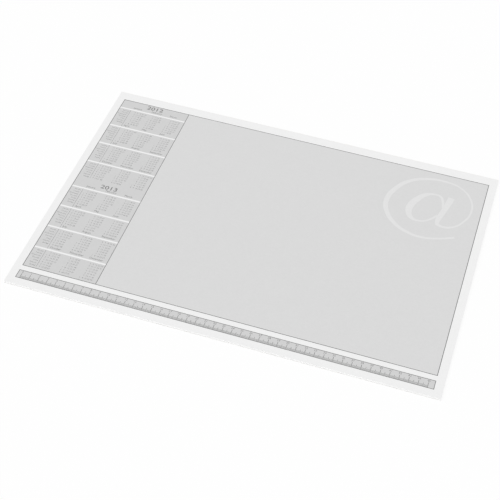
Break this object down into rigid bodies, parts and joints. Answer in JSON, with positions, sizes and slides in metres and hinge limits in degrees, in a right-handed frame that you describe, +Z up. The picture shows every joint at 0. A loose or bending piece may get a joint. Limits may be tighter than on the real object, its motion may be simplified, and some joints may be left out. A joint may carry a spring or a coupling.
{
  "type": "desk pad",
  "caption": "Flat rectangular tear-off desk pad: printed paper sheets on a stiff grey cardboard back, glued along the far edge, where each sheet turns over or tears off.",
  "frame": {"origin": "under the middle of the pad, on the surface that it lies on", "axes": "+X to the right along the front edge and its ruler, +Y to the glued head edge, +Z up"},
  "size_m": [0.48, 0.3404, 0.0027],
  "materials": {
    "writing_paper": "uncoated matt white, printed on the upper face in greys",
    "printing_ink": "matt grey ink on the upper face of each sheet",
    "greyboard": "raw pale grey pulp board with flecks",
    "padding_glue": "dried milky glue film, satin"
  },
  "bodies": {
    "pad_base": {"backing_board": "greyboard", "head_glue": "padding_glue"},
    "leaf_20": {"sheet_20": "writing_paper"},
    "leaf_19": {"sheet_19": "writing_paper"},
    "leaf_18": {"sheet_18": "writing_paper"},
    "leaf_17": {"sheet_17": "writing_paper"},
    "leaf_16": {"sheet_16": "writing_paper"},
    "leaf_15": {"sheet_15": "writing_paper"},
    "leaf_14": {"sheet_14": "writing_paper"},
    "leaf_13": {"sheet_13": "writing_paper"},
    "leaf_12": {"sheet_12": "writing_paper"},
    "leaf_11": {"sheet_11": "writing_paper"},
    "leaf_10": {"sheet_10": "writing_paper"},
    "leaf_09": {"sheet_09": "writing_paper"},
    "leaf_08": {"sheet_08": "writing_paper"},
    "leaf_07": {"sheet_07": "writing_paper"},
    "leaf_06": {"sheet_06": "writing_paper"},
    "leaf_05": {"sheet_05": "writing_paper"},
    "leaf_04": {"sheet_04": "writing_paper"},
    "leaf_03": {"sheet_03": "writing_paper"},
    "leaf_02": {"sheet_02": "writing_paper"},
    "leaf_01": {"sheet_01": "writing_paper"}
  },
  "joints": [
    {"name": "leaf_20_turn", "type": "hinge", "parent": "pad_base", "child": "leaf_20", "pos_m": [0, 0.16979, 0.0027], "axis": [-1, 0, 0], "range_deg": [0, 180]},
    {"name": "leaf_19_turn", "type": "hinge", "parent": "leaf_20", "child": "leaf_19", "pos_m": [0, 0.16979, 0.0027], "axis": [-1, 0, 0], "range_deg": [0, 180]},
    {"name": "leaf_18_turn", "type": "hinge", "parent": "leaf_19", "child": "leaf_18", "pos_m": [0, 0.16979, 0.0027], "axis": [-1, 0, 0], "range_deg": [0, 180]},
    {"name": "leaf_17_turn", "type": "hinge", "parent": "leaf_18", "child": "leaf_17", "pos_m": [0, 0.16979, 0.0027], "axis": [-1, 0, 0], "range_deg": [0, 180]},
    {"name": "leaf_16_turn", "type": "hinge", "parent": "leaf_17", "child": "leaf_16", "pos_m": [0, 0.16979, 0.0027], "axis": [-1, 0, 0], "range_deg": [0, 180]},
    {"name": "leaf_15_turn", "type": "hinge", "parent": "leaf_16", "child": "leaf_15", "pos_m": [0, 0.16979, 0.0027], "axis": [-1, 0, 0], "range_deg": [0, 180]},
    {"name": "leaf_14_turn", "type": "hinge", "parent": "leaf_15", "child": "leaf_14", "pos_m": [0, 0.16979, 0.0027], "axis": [-1, 0, 0], "range_deg": [0, 180]},
    {"name": "leaf_13_turn", "type": "hinge", "parent": "leaf_14", "child": "leaf_13", "pos_m": [0, 0.16979, 0.0027], "axis": [-1, 0, 0], "range_deg": [0, 180]},
    {"name": "leaf_12_turn", "type": "hinge", "parent": "leaf_13", "child": "leaf_12", "pos_m": [0, 0.16979, 0.0027], "axis": [-1, 0, 0], "range_deg": [0, 180]},
    {"name": "leaf_11_turn", "type": "hinge", "parent": "leaf_12", "child": "leaf_11", "pos_m": [0, 0.16979, 0.0027], "axis": [-1, 0, 0], "range_deg": [0, 180]},
    {"name": "leaf_10_turn", "type": "hinge", "parent": "leaf_11", "child": "leaf_10", "pos_m": [0, 0.16979, 0.0027], "axis": [-1, 0, 0], "range_deg": [0, 180]},
    {"name": "leaf_09_turn", "type": "hinge", "parent": "leaf_10", "child": "leaf_09", "pos_m": [0, 0.16979, 0.0027], "axis": [-1, 0, 0], "range_deg": [0, 180]},
    {"name": "leaf_08_turn", "type": "hinge", "parent": "leaf_09", "child": "leaf_08", "pos_m": [0, 0.16979, 0.0027], "axis": [-1, 0, 0], "range_deg": [0, 180]},
    {"name": "leaf_07_turn", "type": "hinge", "parent": "leaf_08", "child": "leaf_07", "pos_m": [0, 0.16979, 0.0027], "axis": [-1, 0, 0], "range_deg": [0, 180]},
    {"name": "leaf_06_turn", "type": "hinge", "parent": "leaf_07", "child": "leaf_06", "pos_m": [0, 0.16979, 0.0027], "axis": [-1, 0, 0], "range_deg": [0, 180]},
    {"name": "leaf_05_turn", "type": "hinge", "parent": "leaf_06", "child": "leaf_05", "pos_m": [0, 0.16979, 0.0027], "axis": [-1, 0, 0], "range_deg": [0, 180]},
    {"name": "leaf_04_turn", "type": "hinge", "parent": "leaf_05", "child": "leaf_04", "pos_m": [0, 0.16979, 0.0027], "axis": [-1, 0, 0], "range_deg": [0, 180]},
    {"name": "leaf_03_turn", "type": "hinge", "parent": "leaf_04", "child": "leaf_03", "pos_m": [0, 0.16979, 0.0027], "axis": [-1, 0, 0], "range_deg": [0, 180]},
    {"name": "leaf_02_turn", "type": "hinge", "parent": "leaf_03", "child": "leaf_02", "pos_m": [0, 0.16979, 0.0027], "axis": [-1, 0, 0], "range_deg": [0, 180]},
    {"name": "leaf_01_turn", "type": "hinge", "parent": "leaf_02", "child": "leaf_01", "pos_m": [0, 0.16979, 0.0027], "axis": [-1, 0, 0], "range_deg": [0, 180]}
  ]
}
